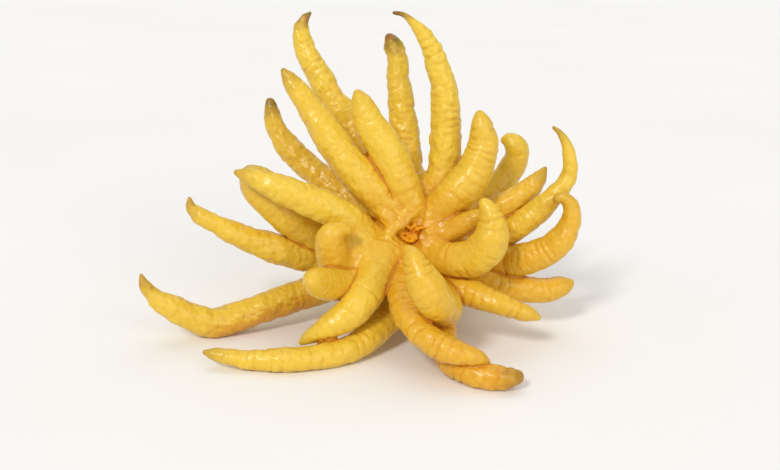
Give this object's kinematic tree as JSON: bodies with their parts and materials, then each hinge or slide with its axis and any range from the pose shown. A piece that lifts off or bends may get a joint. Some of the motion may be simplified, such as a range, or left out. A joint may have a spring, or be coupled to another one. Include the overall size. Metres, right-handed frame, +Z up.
{
  "type": "buddha's hand citron",
  "caption": "Ripe yellow fingered citron as picked: a round palm split into many long curved tapering fingers that spread from its heart, lying on its side, with a short cut stalk",
  "frame": {"origin": "centre of the fruit's footprint, on the surface that it rests on", "axes": "+Z up; -Y is the open side of the hand, where the fingers meet, and +Y the stem end; +X is to the right seen from the open side"},
  "size_m": [0.2235, 0.179, 0.164],
  "materials": {
    "peel": "satin",
    "stem": "matte"
  },
  "bodies": {
    "root": {"fruit": "peel", "stem_button": "stem"}
  },
  "joints": []
}
